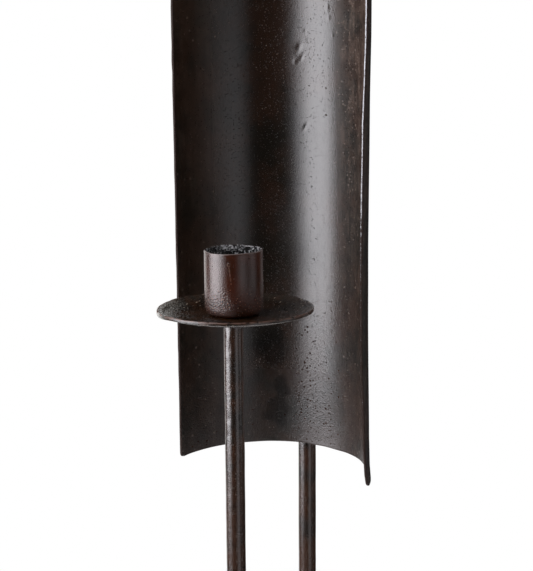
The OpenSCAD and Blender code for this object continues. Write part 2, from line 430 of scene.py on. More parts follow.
def pan_details(add, place, made):
    """Old wax has bloomed grey on the pan's flange. On the left flange the grey is made much
    stronger as a painted sheen that stands in for a reflection. The rim is smoother than the pan,
    and rust shows through along its worn upper edge."""
    edge, brow, bloom_and_sheen = (
        add("Attribute", give="Fac", attribute_name=name) for name in ("edge", "brow", "bloom_and_sheen")
    )
    # Grey wax bloom over the flange, strongest on the left, where it is a painted sheen
    drawn_back = add("VectorMath", (place, (1.0, 0.35, 1.0)), **TIMES)
    greyed = add("TexNoise", (drawn_back, scale_of(0.55), 3.0, 0.7))
    greyed = add("Math", (bloom_and_sheen, add("MapRange", (greyed, 0.3, 0.7), **SMOOTH)), **TIMES)
    greyed = add("Math", (greyed, BLOOM_AND_SHEEN_COVER), **TIMES)
    colour = add("Mix", (greyed, made["Base Color"], linear(BLOOM_AND_SHEEN_GREY)), **COLOUR)
    rust = add("TexNoise", (place, scale_of(3.0), 4.0, 0.6))
    rust = add("Math", (brow, add("MapRange", (rust, 0.35, 0.55), **SMOOTH)), **TIMES)
    made["Base Color"] = add("Mix", (rust, colour, linear(RIM_RUST)), **COLOUR)
    rough = add("Mix", (edge, made["Roughness"], RIM_ROUGHNESS))
    made["Roughness"] = add("Mix", (rust, rough, RUST_ROUGHNESS))
    smooth = add("NewGeometry", give="Normal")
    flattened = add("Math", (edge, RIM_SMOOTHED), **TIMES)
    made["Normal"] = add("Mix", (flattened, made["Normal"], smooth), **VECTOR)


def steel_material():
    """Oiled machine steel, as turned: dark grey with a close, even grain and a soft gloss."""
    material, add, place = start_material("oiled_machine_steel")
    grain = add("TexNoise", (place, scale_of(0.8), 3.0, 0.5))
    return finish_material(material, {
        "Base Color": add("Mix", (grain, linear("#2d2b29"), linear("#55514c")), **COLOUR),
        "Roughness": add("MapRange", (grain, 0.0, 1.0, 0.3, 0.5), **SMOOTH),
        "Metallic": 1.0,
    })


# Meshes from numpy grids


def lumps(points, size, seed):
    """Smooth random values from -1 to 1 at the points, in lumps about `size` metres across."""
    table = np.random.default_rng(seed).uniform(-1, 1, (LATTICE,) * 3)
    scaled = points / size
    cell = np.floor(scaled).astype(int)
    share = scaled - cell
    share = share * share * (3 - 2 * share)
    total = np.zeros(points.shape[:-1])
    for corner in np.ndindex(2, 2, 2):
        weight = np.prod(np.where(np.array(corner) == 1, share, 1 - share), axis=-1)
        index = (cell + corner) % LATTICE
        total += weight * table[index[..., 0], index[..., 1], index[..., 2]]
    return total


def uneven(points, rows, unit=MM):
    """The sum of layers of lumps at the points. Each row is a layer's height, the size of its
    lumps in millimetres and its seed. Heights are in millimetres unless a unit is given."""
    return sum(height * unit * lumps(points, size * MM, seed) for height, size, seed in rows)


def ease(value, start, end):
    """0 before start, 1 after end, and a smooth step between them."""
    share = np.clip((value - start) / (end - start), 0, 1)
    return share * share * (3 - 2 * share)


def stations(low, high, coarse, fine=0.0, zones=()):
    """Positions from low to high, `coarse` apart, and `fine` apart inside the zones."""
    marks = {low, high}
    for start, end in zones:
        marks.update((min(max(start, low), high), min(max(end, low), high)))
    marks = sorted(marks)
    found = []
    for start, end in zip(marks, marks[1:]):
        middle = (start + end) / 2
        step = fine if any(a <= middle <= b for a, b in zones) else coarse
        count = max(1, round((end - start) / step))
        found.extend(start + (end - start) * i / count for i in range(count))
    return np.array([*found, high])


def grid_quads(index, wrap_rows, wrap_columns):
    """The quads of a grid of vertex numbers, wound so that rows x columns is outwards."""
    rows, columns = index.shape
    row_count = rows if wrap_rows else rows - 1
    column_count = columns if wrap_columns else columns - 1
    i, j = np.meshgrid(np.arange(row_count), np.arange(column_count), indexing="ij")
    i, j = i.ravel(), j.ravel()
    next_i, next_j = (i + 1) % rows, (j + 1) % columns
    return np.stack(
        [index[i, j], index[next_i, j], index[next_i, next_j], index[i, next_j]], axis=1
    )


def fan(pole, ring, flip):
    """Triangles between a pole and the closed ring of vertex numbers round it."""
    after = np.roll(ring, -1)
    poles = np.full(len(ring), pole)
    order = (poles, after, ring) if flip else (poles, ring, after)
    return np.stack(order, axis=1)


def make_piece(name, points, faces, material, nodes, attributes=None):
    """A smooth mesh piece that rides on the body, stands for its CAD nodes and has a finish."""
    mesh = bpy.data.meshes.new(name)
    mesh.from_pydata(points.tolist(), [], [face.tolist() for group in faces for face in group])
    mesh.validate()
    for key, values in (attributes or {}).items():
        attribute = mesh.attributes.new(key, "FLOAT", "POINT")
        attribute.data.foreach_set("value", values.astype(np.float32))
    mesh.shade_smooth()
    mesh.materials.append(material)
    piece = bpy.data.objects.new(name, mesh)
    bpy.context.scene.collection.objects.link(piece)
    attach(piece, BODY)
    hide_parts(*nodes)
    return piece


def make_ring(name, points, material, node, attributes=None):
    """A piece whose grid of points closes on itself in both directions."""
    shape = points.shape[:2]
    index = np.arange(shape[0] * shape[1]).reshape(shape)
    spread = {
        key: np.broadcast_to(values, shape).ravel() for key, values in (attributes or {}).items()
    }
    return make_piece(
        name, points.reshape(-1, 3), [grid_quads(index, True, True)], material, [node], spread
    )


def tube(centres, across, along, radii, around):
    """Rings of points round a path, each with its own radius. across and along are the
    section's two unit directions."""
    angles = np.arange(around) * FULL_TURN / around
    ring = np.cos(angles)[None, :, None] * across[:, None, :]
    ring = ring + np.sin(angles)[None, :, None] * along[:, None, :]
    return centres[:, None, :] + ring * radii[:, None, None]


def away_from(centres, rings):
    """Unit directions from the middle of each ring to its points."""
    away = rings - centres[:, None, :]
    return away / np.linalg.norm(away, axis=-1, keepdims=True)


def capped_faces(rows, around):
    """Faces of a tube of rows x around points, closed at both ends by two more points."""
    index = np.arange(rows * around).reshape(rows, around)
    first, last = rows * around, rows * around + 1
    return [
        grid_quads(index, False, True),
        fan(first, index[0], False),
        fan(last, index[-1], True),
    ]


def revolved(profile, axis_y, around):
    """A closed section of (radius, z) points turned round the upright axis at x = 0, y = axis_y."""
    angles = np.arange(around) * FULL_TURN / around
    radius = profile[:, 0][None, :]
    points = np.empty((around, len(profile), 3))
    points[..., 0] = np.sin(angles)[:, None] * radius
    points[..., 1] = axis_y - np.cos(angles)[:, None] * radius
    points[..., 2] = profile[:, 1][None, :]
    return points, angles


def arc(centre, radius, start, end, steps):
    """Points of an arc in a plane, from one angle in degrees to another."""
    angles = np.radians(np.linspace(start, end, steps + 1))
    return np.stack(
        [centre[0] + radius * np.cos(angles), centre[1] + radius * np.sin(angles)], axis=1
    )


def even(path, step):
    """The corner points of a closed path, with more points at most `step` apart between them."""
    found = []
    for start, end in zip(path, np.roll(path, -1, axis=0)):
        count = max(1, math.ceil(np.linalg.norm(end - start) / step))
        found.extend(start + (end - start) * i / count for i in range(count))
    return np.array(found)


# The rolled shield


class ShieldSizes(bpy.types.PropertyGroup):
    """Sizes and colours of the rolled iron shield"""

    inner_radius: length_property(
        "Inner radius", "Inner radius that the sheet is rolled to", 45, 20, 90,
    )
    thickness: length_property("Thickness", "Thickness of the sheet", 1.2, 0.5, 4)
    half_angle: FloatProperty(
        name="Half angle", description="Angle from the middle to each long edge",
        default=math.radians(86), min=math.radians(45), max=math.radians(120), subtype="ANGLE",
    )
    corner_radius: length_property("Corner radius", "Corner radius of the flat sheet", 2, 0.5, 20)
    edge_round: length_property(
        "Edge rounding", "How far in from a cut edge the sheet thins", 0.4, 0.1, 1,
    )
    side_shift: length_property(
        "Side shift", "How far the hand-fitted shield sits to the right", 1.35, -3, 3,
    )
    iron: colour_property("Iron", "Colour of the blackened iron", "#191208")
    oxide: colour_property("Oxide", "Colour where brown oxide shows through", "#2f1b0d")
    dust: colour_property("Dust", "Colour of the dust and light specks", "#8b7b70")


# Dents that a hammer and handling left in the sheet: arc position and height over the
# shield's bottom edge in mm, half length, half width and depth in mm, and the turn in degrees
# of the long way from upright. A depth below zero is a lump towards the candle.
DENTS = (
    (-2.1, 186.1, 2.1, 1.2, 0.20, -30),
    (-1.0, 181.4, 1.8, 0.8, 0.18, -35),
    (-4.3, 179.6, 1.0, 0.8, -0.14, 0),
    (0.8, 150.3, 1.9, 0.7, 0.2, -35),
    (12.5, 203.9, 1.5, 0.7, 0.16, 0),
    (13.3, 199.2, 0.9, 0.6, 0.14, 0),
    (15.4, 191.3, 0.9, 0.7, 0.12, 0),
    (1.0, 193.4, 0.7, 0.6, 0.14, 0),
    (2.3, 189.4, 0.6, 0.6, 0.12, 0),
    (3.9, 189.4, 0.5, 0.5, 0.12, 0),
    (-50.0, 12.0, 3.0, 2.0, 0.2, 20),
)

# Where wax once dripped and left the sheet black: arc position and height over the bottom edge
# in mm, and half the width and height
STAINS = (
    (-14.0, 15.0, 6.5, 7.5),
    (-12.0, 27.0, 4.0, 5.0),
    (-17.0, 46.0, 7.0, 12.0),
)
STAIN_FADE = (0.6, 1.25)
STAIN_LUMPS = ((0.3, 4, 18), (0.15, 1.6, 19))

# How far the right long edge stands out from the true roll, by height over the bottom, in mm
RIGHT_EDGE_HEIGHTS = (0, 5, 16, 32, 50, 95, 155, 192, 240, 400)
RIGHT_EDGE_FLARE = (1.8, 1.0, 0.3, -0.2, -1.0, -1.4, -0.5, 0.8, 0.9, 0.8)
# How much of the right edge's inner line is rubbed bare, by height over the bottom in mm
RUBBED_HEIGHTS = (0, 60, 80, 112, 125, 400)
RUBBED_SHARES = (0.42, 0.46, 0.52, 0.58, 0.72, 0.78)

# How far the sheet stands out at its left edge and along a ridge right of its middle, and how
# deep the flat beside the right edge is, in mm
LEFT_EDGE_BOW = -0.75
RIDGE_BOW = 0.45
FLAT_DEPTH = 0.3
# How much lower the bottom edge hangs at its right end, on the left and in its middle, in mm
RIGHT_DROP = 2.2
LEFT_DROP = 0.42
MIDDLE_DROP = 0.42

# Spacing of the sheet's points, and the zones across it and up it that have fine ones, in mm
COARSE_ACROSS, FINE_ACROSS = 2, 0.5
COARSE_UP, FINE_UP = 1.6, 0.6
MARKED_ACROSS = 26
MARKED_UP = ((0, 36), (146, 208))
RIGHT_STRIP = 5

# Unevenness of the sheet's long edges, ends, face, foot and thickness near its edges
SIDE_LUMPS = ((0.12, 7, 11),)
END_LUMPS = ((0.15, 9, 12),)
FACE_LUMPS = ((0.12, 46, 13), (0.05, 17, 14))
FOOT_LUMPS = ((0.02, 2.4, 17),)
RIM_THICKNESS_LUMPS = ((0.12, 4, 15),)


def half_thickness(depth, thickness, edge_round):
    """Half the sheet's thickness at a depth in from its edge: full, then rounding to nothing."""
    squareness = 2.6
    short = np.clip(1 - depth / edge_round, 0, 1)
    return thickness / 2 * (1 - short ** squareness) ** (1 / squareness)


def sheet_stations(low, high, edge_round, coarse, fine, zones):
    """Stations across a sheet, with the close ones that round its two edges."""
    shares = np.array([0.0, 0.03, 0.1, 0.22, 0.4, 0.65])
    inner = stations(low + edge_round, high - edge_round, coarse, fine, zones)
    return np.concatenate(
        [low + shares * edge_round, inner, high - shares[::-1] * edge_round]
    )


def round_corners(s, h, half_width, height, radius):
    """The flat sheet's points with its four corners drawn in to arcs, and how deep each lies in
    from the nearest edge."""
    from_side = half_width - np.abs(s)
    from_end = height / 2 - np.abs(h - height / 2)
    x = np.clip(1 - from_side / radius, 0, 1)
    y = np.clip(1 - from_end / radius, 0, 1)
    round_x, round_y = x * np.sqrt(1 - y * y / 2), y * np.sqrt(1 - x * x / 2)
    in_corner = (from_side < radius) | (from_end < radius)
    depth = np.where(
        in_corner, radius * (1 - np.hypot(round_x, round_y)), np.minimum(from_side, from_end)
    )
    s = s - np.sign(s) * (x - round_x) * radius
    h = h - np.sign(h - height / 2) * (y - round_y) * radius
    return s, h, np.maximum(depth, 0)


def between(turn, start, end):
    """A smooth step between two turns in degrees."""
    return ease(turn, math.radians(start), math.radians(end))


def sheet_bow(turn, h, place, half_angle):
    """How far the sheet stands out from its true roll, dents apart."""
    right = between(turn, 52, math.degrees(half_angle)) ** 1.4
    bow = right * np.interp(h / MM, RIGHT_EDGE_HEIGHTS, RIGHT_EDGE_FLARE) * MM
    bow = bow + LEFT_EDGE_BOW * MM * between(-turn, 50, math.degrees(half_angle))
    bow = bow + RIDGE_BOW * MM * (between(turn, 5, 29) - between(turn, 35, 70))
    bow = bow + uneven(place, FACE_LUMPS)
    flat = between(turn, 46, 66) * (1 - between(turn, 70, 86))
    flat = flat * ease(h, 20 * MM, 90 * MM) * (1 - ease(h, 110 * MM, 190 * MM))
    bow = bow - FLAT_DEPTH * MM * flat
    return bow + (1 - ease(h, 10 * MM, 60 * MM)) * uneven(place, FOOT_LUMPS)


def dented(s, h):
    """Depth of the dents at each point."""
    total = np.zeros_like(s)
    for dent_s, dent_h, long, wide, deep, lean in DENTS:
        ds, dh = s / MM - dent_s, h / MM - dent_h
        cos_lean, sin_lean = math.cos(math.radians(lean)), math.sin(math.radians(lean))
        along = (dh * cos_lean - ds * sin_lean) / long
        beside = (ds * cos_lean + dh * sin_lean) / wide
        total += deep * MM * np.exp(-(along ** 2 + beside ** 2))
    return total


def stained(s, h, place):
    """1 where wax has left the sheet black, and 0 away from it."""
    found = np.zeros_like(s)
    for stain_s, stain_h, wide, high in STAINS:
        away = np.hypot((s / MM - stain_s) / wide, (h / MM - stain_h) / high)
        away = away + uneven(place, STAIN_LUMPS, 1)
        found = np.maximum(found, 1 - ease(away, *STAIN_FADE))
    return found


def build_shield(sizes, material):
    """The sheet as two skins that meet in its cut edges, with its bows, dents and worn edge."""
    mid_radius = sizes.inner_radius + sizes.thickness / 2
    half_width = mid_radius * sizes.half_angle
    height = SHIELD_HIGH.z - SHIELD_LOW.z
    axis_y = SHIELD_HIGH.y - sizes.inner_radius - sizes.thickness
    across = sheet_stations(
        -half_width, half_width, sizes.edge_round, COARSE_ACROSS * MM, FINE_ACROSS * MM,
        [(-MARKED_ACROSS * MM, MARKED_ACROSS * MM), (half_width - RIGHT_STRIP * MM, half_width)],
    )
    up = sheet_stations(
        0, height, sizes.edge_round, COARSE_UP * MM, FINE_UP * MM,
        [(start * MM, end * MM) for start, end in MARKED_UP],
    )
    s, h = np.meshgrid(across, up, indexing="ij")
    side, end = np.sign(s), np.sign(h - height / 2)
    s, h, depth = round_corners(s, h, half_width, height, sizes.corner_radius)

    place = np.stack([s, np.zeros_like(s), h], axis=-1)
    rim = 1 - ease(depth, 0, 3 * MM)
    s = s + side * rim * uneven(place, SIDE_LUMPS)
    h = h + end * rim * uneven(place, END_LUMPS)
    turn = s / mid_radius
    bow = sheet_bow(turn, h, place, sizes.half_angle) + dented(s, h)
    drop = RIGHT_DROP * between(turn, 60, math.degrees(sizes.half_angle))
    drop = drop + LEFT_DROP * between(-turn, 22, 34) + MIDDLE_DROP * between(turn, -5, 8)
    drop = drop * MM * (1 - ease(h, 0, 45 * MM))
    thick = half_thickness(depth, sizes.thickness, sizes.edge_round)
    thick = thick * (1 + rim * uneven(place, RIM_THICKNESS_LUMPS, 1))

    def skin(offset):
        reach = mid_radius + bow + offset
        return np.stack(
            [sizes.side_shift + reach * np.sin(turn), axis_y + reach * np.cos(turn),
             SHIELD_LOW.z + h - drop],
            axis=-1,
        )

    inner, outer = skin(-thick), skin(thick)
    rows, columns = s.shape
    inner_index = np.arange(rows * columns).reshape(rows, columns)
    outer_index = inner_index.copy()
    inside = np.zeros_like(s, dtype=bool)
    inside[1:-1, 1:-1] = True
    outer_index[inside] = rows * columns + np.arange(inside.sum())
    points = np.concatenate([inner.reshape(-1, 3), outer[inside]])
    faces = [
        grid_quads(inner_index, False, False),
        grid_quads(outer_index, False, False)[:, ::-1],
    ]

    cut = 1 - ease(depth, 0.1 * MM, 0.45 * MM)
    near_right = ease(turn * mid_radius, half_width - 1.2 * MM, half_width - 0.8 * MM)
    inner_line = near_right * (1 - ease(depth, 0.1 * MM, 0.24 * MM))
    inner_line = inner_line * np.interp(h / MM, RUBBED_HEIGHTS, RUBBED_SHARES)
    outer_line = ease(depth, 0.12 * MM, 0.2 * MM) * (1 - ease(depth, 0.3 * MM, 0.4 * MM))
    outer_line = 0.5 * near_right * outer_line
    dull = between(turn, 14, 34) * (0.65 + 0.55 * ease(h, 60 * MM, 200 * MM))
    dull = dull + 0.4 * between(-turn, 40, 58)
    pitted = between(turn, -18, -2) * (1 - between(turn, 20, 32))
    stain = stained(s, h, place)
    # Each value on the inner skin, and on the outer one
    shares = {
        "cut": (cut, cut),
        "wear": (inner_line, outer_line),
        "dull": (dull, dull),
        "pitted": (pitted, pitted),
        "stain": (stain, np.zeros_like(stain)),
    }
    return make_piece(
        "rolled_shield", points, faces, material, ["shield"],
        {
            name: np.concatenate([on_inner.ravel(), on_outer[inside]])
            for name, (on_inner, on_outer) in shares.items()
        },
    )


# The bent bar


class BarSizes(bpy.types.PropertyGroup):
    """Sizes and colours of the round bar that is bent into a U"""

    hole_radius: length_property(
        "Hole radius", "Radius of the tapped hole in the front end", 2.05, 1, 3,
    )
    hole_depth: length_property(
        "Hole depth", "Depth of the tapped hole in the front end", 11, 4, 20,
    )
    end_round: length_property("End rounding", "Rounding of the bar's sawn ends", 0.5, 0.1, 2)
    iron: colour_property("Iron", "Colour of the blackened iron", "#1e1208")
    oxide: colour_property("Oxide", "Colour where brown oxide shows through", "#40230f")
    dust: colour_property("Dust", "Colour of the dust and light specks", "#9a8a80")


# Pits and low lumps of the front leg: direction in degrees from the front towards the right,
# height z, half length, half width and depth, in mm
BAR_PITS = (
    (-14.2, -348.4, 0.9, 0.6, 0.22),
    (-26.1, -355.6, 1.0, 0.6, 0.22),
    (1.1, -317.9, 1.6, 0.8, 0.16),
    (-20.0, -321.0, 1.2, 0.9, -0.12),
    (-8.0, -313.0, 1.4, 1.0, -0.14),
    (-30.0, -312.0, 1.0, 0.9, 0.12),
)
# Shallow grooves along the bar: direction from the front towards the right, depth and half
# width, in degrees and mm
BAR_GROOVES = ((28.0, 0.10, 0.34), (50.0, 0.08, 0.3), (5.0, 0.05, 0.25))
# How far the bar swells over its nominal radius in mm, and its lumps
BAR_SWELL = 0.18
BAR_LUMPS = ((0.07, 13, 21), (0.03, 4, 22))
# How far the front leg leans to the right, by the length of bar from its top, in mm
LEAN_AT = (0, 14, 55, 75, 100, 150, 250, 290, 360)
LEAN = (0, -0.15, -0.2, -0.25, -0.37, -0.3, 0, -0.25, 0)
# Spacing of the rings along the bar, and over the length from its top that has fine ones, in mm
COARSE_RINGS, FINE_RINGS, FINE_LENGTH = 2.2, 1, 60
BAR_AROUND = 48


def bar_surface(rings, on_front):
    """How far the bar's skin stands out from its nominal radius."""
    bearing = 90 - np.degrees(np.arange(BAR_AROUND) * FULL_TURN / BAR_AROUND)[None, :]
    bearing = (bearing + 180) % 360 - 180
    shape = BAR_SWELL * MM + uneven(rings, BAR_LUMPS)
    for direction, deep, wide in BAR_GROOVES:
        gap = np.radians((bearing - direction + 180) % 360 - 180) * BAR_RADIUS / MM
        depth = deep * MM * (0.7 + 0.5 * lumps(rings, 30 * MM, 23))
        shape = shape - depth * np.exp(-((gap / wide) ** 2))
    for direction, z, long, wide, deep in BAR_PITS:
        gap = np.radians(bearing - direction) * BAR_RADIUS / MM / wide
        rise = (rings[..., 2] / MM - z) / long
        shape = shape - on_front * deep * MM * np.exp(-(gap ** 2 + rise ** 2))
    return shape


def build_bar(sizes, material):
    """The U of round bar, from the tapped hole at its front end to its rear end on the wall."""
    front_top = PAN_LOW.z
    front_length = front_top - BEND_Z
    bend_length = math.pi * BEND_RADIUS
    rear_length = BAR_HIGH.z - BEND_Z
    total = front_length + bend_length + rear_length
    soft = sizes.end_round
    body = stations(
        soft, total - soft, COARSE_RINGS * MM, FINE_RINGS * MM, [(0, FINE_LENGTH * MM)]
    )
    turns = np.radians(np.linspace(15, 90, 6))
    tip_s = soft * (1 - np.sin(turns))[::-1]
    tip_r = BAR_RADIUS - soft * (1 - np.cos(turns))[::-1]
    hole_r, hole_s = sizes.hole_radius, sizes.hole_depth
    # The tapped hole from its floor up, then the flat end round it: depth and radius
    socket = np.array([
        (hole_s, hole_r * 0.8), (hole_s - 0.3 * MM, hole_r), (5 * MM, hole_r),
        (1.2 * MM, hole_r), (0.3 * MM, hole_r), (0, hole_r + 0.3 * MM), (0, hole_r + 0.9 * MM),
    ])
    at = np.concatenate([socket[:, 0], tip_s, body[1:-1], total - tip_s[::-1], [total]])
    reach = np.concatenate(
        [socket[:, 1], tip_r, np.full(len(body) - 2, BAR_RADIUS), tip_r[::-1], [1.6 * MM]]
    )
    bend = np.clip((at - front_length) / BEND_RADIUS, 0, math.pi)
    after = np.clip(at - front_length - bend_length, 0, None)
    before = np.minimum(at, front_length)
    zero = np.zeros_like(at)
    middle_y = (FRONT_Y + REAR_Y) / 2
    centres = np.stack(
        [zero, middle_y - BEND_RADIUS * np.cos(bend),
         front_top - before - BEND_RADIUS * np.sin(bend) + after],
        axis=-1,
    )
    sideways = np.stack([zero + 1, zero, zero], axis=-1)
    outwards = np.stack([zero, -np.cos(bend), -np.sin(bend)], axis=-1)
    rings = tube(centres, sideways, outwards, reach, BAR_AROUND)
    shape = bar_surface(rings, (at <= front_length)[:, None])
    outside = (reach > BAR_RADIUS - 0.6 * soft)[:, None]
    outside[: len(socket)] = False
    touching_pan = ease(at, 0, 2 * MM)[:, None]
    rings = rings + away_from(centres, rings) * (shape * outside * touching_pan)[..., None]
    rings[..., 0] += (np.interp(at / MM, LEAN_AT, LEAN) * MM)[:, None] * outside
    poles = np.array([centres[0] - [0, 0, 0.8 * MM], centres[-1]])
    return make_piece(
        "bent_bar", np.concatenate([rings.reshape(-1, 3), poles]),
        capped_faces(len(at), BAR_AROUND), material, ["support_bar"],
    )


# The drip pan


class PanSizes(bpy.types.PropertyGroup):
    """Sizes and colours of the pressed drip pan"""

    radius: length_property("Radius", "Radius over the pan's rim", 33.2, 20, 60)
    thickness: length_property("Thickness", "Thickness of the pan's sheet", 1.5, 0.5, 3)
    depth: length_property("Depth", "Depth of the pan's floor below its rim", 3, 0.5, 10)
    floor_radius: length_property("Floor radius", "Radius of the pan's flat floor", 17, 5, 30)
    edge_round: length_property("Edge rounding", "Rounding of the rim's two edges", 0.35, 0.1, 0.7)
    screw_hole_radius: length_property(
        "Screw hole radius", "Radius of the screw's hole in the sheet", 2.2, 1.5, 4,
    )
    iron: colour_property("Iron", "Colour of the blackened iron", "#1c1208")
    oxide: colour_property("Oxide", "Colour where brown oxide shows through", "#3a210f")
    # On the pan this colour goes into light specks that are partly painted glints
    dust: colour_property("Dust", "Colour of the dust and light specks", "#a39585")


# Bearing on the pan, from the front towards the right, where its rim hangs the lowest and where the
# grey of the wax bloom, with its painted sheen, is strongest
LEFT_BEARING = math.radians(-66)
# How far the rim hangs there, and how much thicker its lower side is there, in mm
LEFT_HANG = 0.55
LEFT_THICKER = 0.45
# How far the whole rim sits to the right, in mm
RIM_SHIFT = 0.8
# Unevenness of the pan, and how its rim waves up and down in mm and in and out in shares of
# its radius
PAN_LUMPS = ((0.10, 9, 31), (0.06, 2.6, 32), (0.09, 1.2, 35))
RIM_WAVES = ((0.25, 30, 33),)
RIM_SWAY = ((0.004, 14, 34),)
# Spacing of the section's points on the flat floor and on the swept side, in mm
FLOOR_STEP = 0.7
SIDE_STEP = 0.55
PAN_AROUND = 360


def build_pan(sizes, material):
    """The dished pan with its swept sides and thick rounded rim."""
    soft, half = sizes.edge_round, sizes.thickness / 2
    rim_r = sizes.radius - soft
    flat = stations(sizes.screw_hole_radius, sizes.floor_radius, FLOOR_STEP * MM)[:-1]
    run = stations(sizes.floor_radius, rim_r, SIDE_STEP * MM)
    swept = math.pi / 2 * (run - sizes.floor_radius) / (rim_r - sizes.floor_radius)
    rise = np.concatenate([flat * 0, sizes.depth * (1 - np.cos(swept))])
    upper = np.stack(
        [np.concatenate([flat, run]), PAN_LOW.z + sizes.thickness + rise], axis=1
    )
    lower = upper - [0, sizes.thickness]
    top_z, low_z = upper[-1][1], lower[-1][1]
    rim = np.concatenate([
        arc((rim_r, low_z + soft), soft, -80, 0, 4),
        [[sizes.radius, low_z + half]],
        arc((rim_r, top_z - soft), soft, 0, 80, 4),
    ])
    kept = upper[:, 0] < rim_r
    section = np.concatenate([lower[kept], rim, upper[kept][::-1]])
    points, angles = revolved(section, FRONT_Y, PAN_AROUND)
    radius = section[:, 0][None, :]
    outer = ease(radius, 14 * MM, sizes.radius)
    at_left = np.cos(angles - LEFT_BEARING)[:, None]
    hanging = outer * ease(at_left, 0.72, 1)
    level = points * [1, 1, 0]
    points[..., 2] += uneven(points, PAN_LUMPS) * ease(radius, 5 * MM, 13 * MM)
    points[..., 2] += outer * uneven(level, RIM_WAVES)
    points[..., 2] -= LEFT_HANG * MM * hanging
    points[..., 2] -= LEFT_THICKER * MM * hanging * (section[:, 1] < top_z - half)
    sway = 1 + outer * uneven(level, RIM_SWAY, 1)
    points[..., 0] = points[..., 0] * sway + RIM_SHIFT * MM * outer
    points[..., 1] = (points[..., 1] - FRONT_Y) * sway + FRONT_Y
    on_edge = ease(section[:, 0], sizes.radius - 1.1 * MM, sizes.radius - 0.5 * MM)
    in_front = ease(np.cos(angles), -0.35, 0.1)[:, None]
    brow = in_front * on_edge * ease(section[:, 1], top_z - 0.6 * MM, top_z - 0.2 * MM)
    # The flange greys a little all round with wax bloom, and much more on the left, where the grey
    # is a painted sheen
    on_left = ease(at_left, 0.74, 0.99)
    bloom_and_sheen = ease(radius, 23 * MM, 31 * MM) * (0.12 + 1.3 * on_left)
    return make_ring(
        "pressed_pan", points, material, "drip_pan",
        {"edge": on_edge, "brow": brow, "bloom_and_sheen": bloom_and_sheen * (1 - on_edge * (1 - on_left))},
    )


# The candle cup


class CupSizes(bpy.types.PropertyGroup):
    """Sizes and colours of the drawn candle cup"""

    wall: length_property("Wall", "Thickness of the cup's wall", 1, 0.5, 2)
    floor: length_property("Floor", "Thickness of the cup's floor", 1.2, 0.5, 3)
    shrink: length_property(
        "Shrink", "How far the wall stays inside its nominal radius", 0.1, 0, 0.5,
    )
    side_shift: length_property(
        "Side shift", "How far the hand-fitted cup sits to the right", 0.35, -1, 1,
    )
    foot_round: length_property(
        "Foot rounding", "Outer radius where the wall turns into the floor", 3.5, 1, 6,
    )
    screw_hole_radius: length_property(
        "Screw hole radius", "Radius of the screw's hole in the floor", 2.2, 1.5, 4,
    )
    iron: colour_property("Iron", "Colour of the blackened iron", "#361503")
    oxide: colour_property("Oxide", "Colour where brown oxide shows through", "#471d0a")
    # The foot's light specks take this colour, partly as painted glints
    dust: colour_property("Dust", "Colour of the dust and light specks", "#9c7a66")


# The mark that a drop of wax left on the cup: bearing from the front towards the right in
# degrees and height in mm, of the ring's middle and of the end of the run below it
MARK_RING = (17.0, -280.0)
MARK_RUN_END = (21.2, -288.3)
MARK_RADIUS = 0.6
MARK_LINE = 0.22


def wax_mark(bearing, z, cup_radius):
    """1 on the lines of the wax mark, and 0 away from them. Lengths are in millimetres."""
    mm_per_degree = math.radians(cup_radius)
    x0, z0 = MARK_RING[0] * mm_per_degree, MARK_RING[1] - MARK_RADIUS
    x1, z1 = MARK_RUN_END[0] * mm_per_degree, MARK_RUN_END[1]
    x = bearing * mm_per_degree
    from_ring = np.hypot(x - x0, z - MARK_RING[1]) - MARK_RADIUS
    along = ((x - x0) * (x1 - x0) + (z - z0) * (z1 - z0)) / ((x1 - x0) ** 2 + (z1 - z0) ** 2)
    along = np.clip(along, 0, 1)
    from_run = np.hypot(x - x0 - along * (x1 - x0), z - z0 - along * (z1 - z0))
    run = np.exp(-((from_run / MARK_LINE) ** 2)) * (1 - 0.6 * along)
    return np.maximum(np.exp(-((from_ring / MARK_LINE) ** 2)), run)


# Unevenness of the cup's wall, grainy foot, rough inside and lip
WALL_LUMPS = ((0.06, 8, 41),)
CUP_FOOT_LUMPS = ((0.03, 1.0, 42),)
INSIDE_LUMPS = ((0.2, 1.2, 43),)
LIP_LUMPS = ((0.16, 5, 44), (0.2, 20, 45))
# Spacing of the section's points, in mm
CUP_STEP = 0.35
CUP_AROUND = 300


